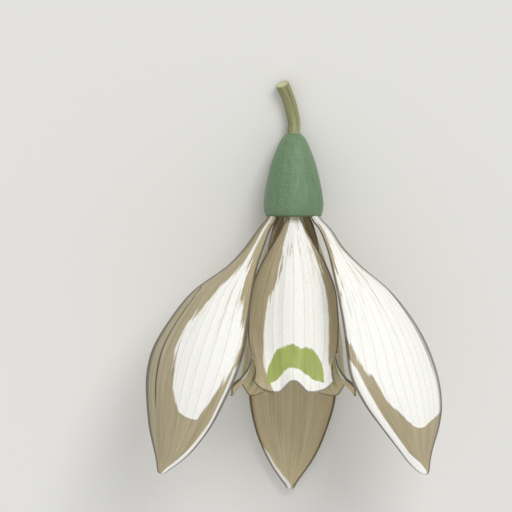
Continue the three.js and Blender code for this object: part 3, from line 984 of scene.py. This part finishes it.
def threadSkin():
    # clear, watery tissue that lets light through, with greener strands along it
    material, shader, add = newMaterial("stamen thread, watery", {
        "Roughness": 0.4,
        "IOR": 1.38,
        "Subsurface Weight": 0.5,
        "Subsurface Radius": (1, 1, 0.8),
        "Subsurface Scale": 0.0003,
    })
    stretched = add("Mapping", {"Vector": bloomSpace(add), "Scale": (1, 0.1, 1)})
    strand = add("TexNoise", {"Vector": stretched, "Scale": 1 / stamens["strand"], "Detail": 2.0})
    share = add("MapRange", {"Value": strand, "From Min": 0.4, "From Max": 0.65})
    colour = add("Mix", {"Factor": share, "A": linear(stamens["thread"]),
                         "B": linear(stamens["threadDeep"])}, data_type="RGBA")
    feed(colour, shader.inputs["Base Color"])
    return material


def lobedForm(x, y, z):
    # a groove parts the anther into two lobes, and the whole leans in towards the style
    lobed = smooth(z, stamens["antherFrom"], stamens["antherWhole"])
    lobed *= 1 - smooth(z, *stamens["antherEnd"])
    side = x / max(math.hypot(x, y), 1e-6)
    dent = math.exp(-((side / stamens["grooveHalfWidth"]) ** 2))
    groove = 1 - stamens["groove"] * dent * lobed
    out = follow(stamens["lean"], z) + y * groove * stamens["flatness"]
    return Vector((x * groove, -z, out))


def makeStamens():
    outline = [alongTable(stamens["outline"], k / stamens["rings"])
               for k in range(stamens["rings"] + 1)]
    model = growRings("stamenBody_1", stamens["sides"], outline)
    model.data.materials.append(threadSkin())
    model.data.materials.append(antherSkin())
    for face in model.data.polygons:
        face.material_index = 1 if face.center.z > stamens["antherFrom"] else 0
    for corner in model.data.vertices:
        corner.co = lobedForm(*corner.co)
    pieces = [model]
    for k in range(1, stamens["count"]):
        piece = model.copy()
        piece.data = model.data.copy()
        piece.name = "stamenBody_" + str(k + 1)
        bpy.context.collection.objects.link(piece)
        pieces.append(piece)
    for k, piece in enumerate(pieces):
        turn = Matrix.Rotation(math.tau * k / stamens["count"], 4, "Y")
        piece.data.transform(place @ turn @ Matrix.Scale(mm, 4))
        settle(piece, "stamen_" + str(k + 1))


makeStamens()
print("stamens made")


# Style: a slender column, thickest a little above its round tip.
style = {
    "outline": [(0.1, -0.3), (0.19, 0.2), (0.18, 2), (0.175, 4.2), (0.19, 6), (0.215, 7.6),
                (0.22, 8.3), (0.205, 8.85), (0.16, 9.18), (0.1, 9.34), (0.03, 9.4)],
    "rings": 50,
    "sides": 24,
    "pale": "#e6e9d0",
    "green": "#b9c98d",
}


def styleTissue():
    # watery tissue, greener towards its tip
    material, shader, add = newMaterial("style tissue, watery", {
        "Roughness": 0.4,
        "Subsurface Weight": 0.4,
        "Subsurface Radius": (0.9, 1, 0.6),
        "Subsurface Scale": 0.0003,
    })
    height = add("SeparateXYZ", {"Vector": bloomSpace(add)}).outputs["Y"]
    tipward = add("MapRange", {"Value": height, "From Min": -5.0, "From Max": -8.5})
    colour = add("Mix", {"Factor": tipward, "A": linear(style["pale"]),
                         "B": linear(style["green"])}, data_type="RGBA")
    feed(colour, shader.inputs["Base Color"])
    return material


def makeStyle():
    outline = [alongTable(style["outline"], k / style["rings"]) for k in range(style["rings"] + 1)]
    piece = growRings("style_column", style["sides"], outline)
    bendRings(piece, lambda x, y, z: Vector((x, -z, y)))
    piece.data.materials.append(styleTissue())
    settle(piece, "style")


makeStyle()
print("style made")


lights = {
    "floor": "#e9e8e4",
    "floorSize": 4,
    "keyFrom": (0.3, 0.45, 0.85),  # upper right of the picture, towards the viewer
    "keyStrength": 1.3,
    "keyAngle": math.radians(30),
    "ambient": 0.66,
}


def makeFloor():
    # matt card: even, with soft shadows and no gloss
    bpy.ops.mesh.primitive_plane_add(size=lights["floorSize"])
    floor = bpy.context.object
    floor.name = "floor"
    card = newMaterial("pale card", {"Base Color": linear(lights["floor"]), "Roughness": 0.8})[0]
    floor.data.materials.append(card)


def makeLights():
    towards = place.to_3x3() @ Vector(lights["keyFrom"])
    bpy.ops.object.light_add(type="SUN", rotation=towards.to_track_quat("Z", "Y").to_euler())
    key = bpy.context.object
    key.data.energy = lights["keyStrength"]
    key.data.angle = lights["keyAngle"]
    scene = bpy.context.scene
    scene.world = scene.world or bpy.data.worlds.new("studio")
    scene.world.use_nodes = True
    background = scene.world.node_tree.nodes["Background"]
    background.inputs["Color"].default_value = (1, 1, 1, 1)
    background.inputs["Strength"].default_value = lights["ambient"]


makeFloor()
makeLights()
print("stage made")
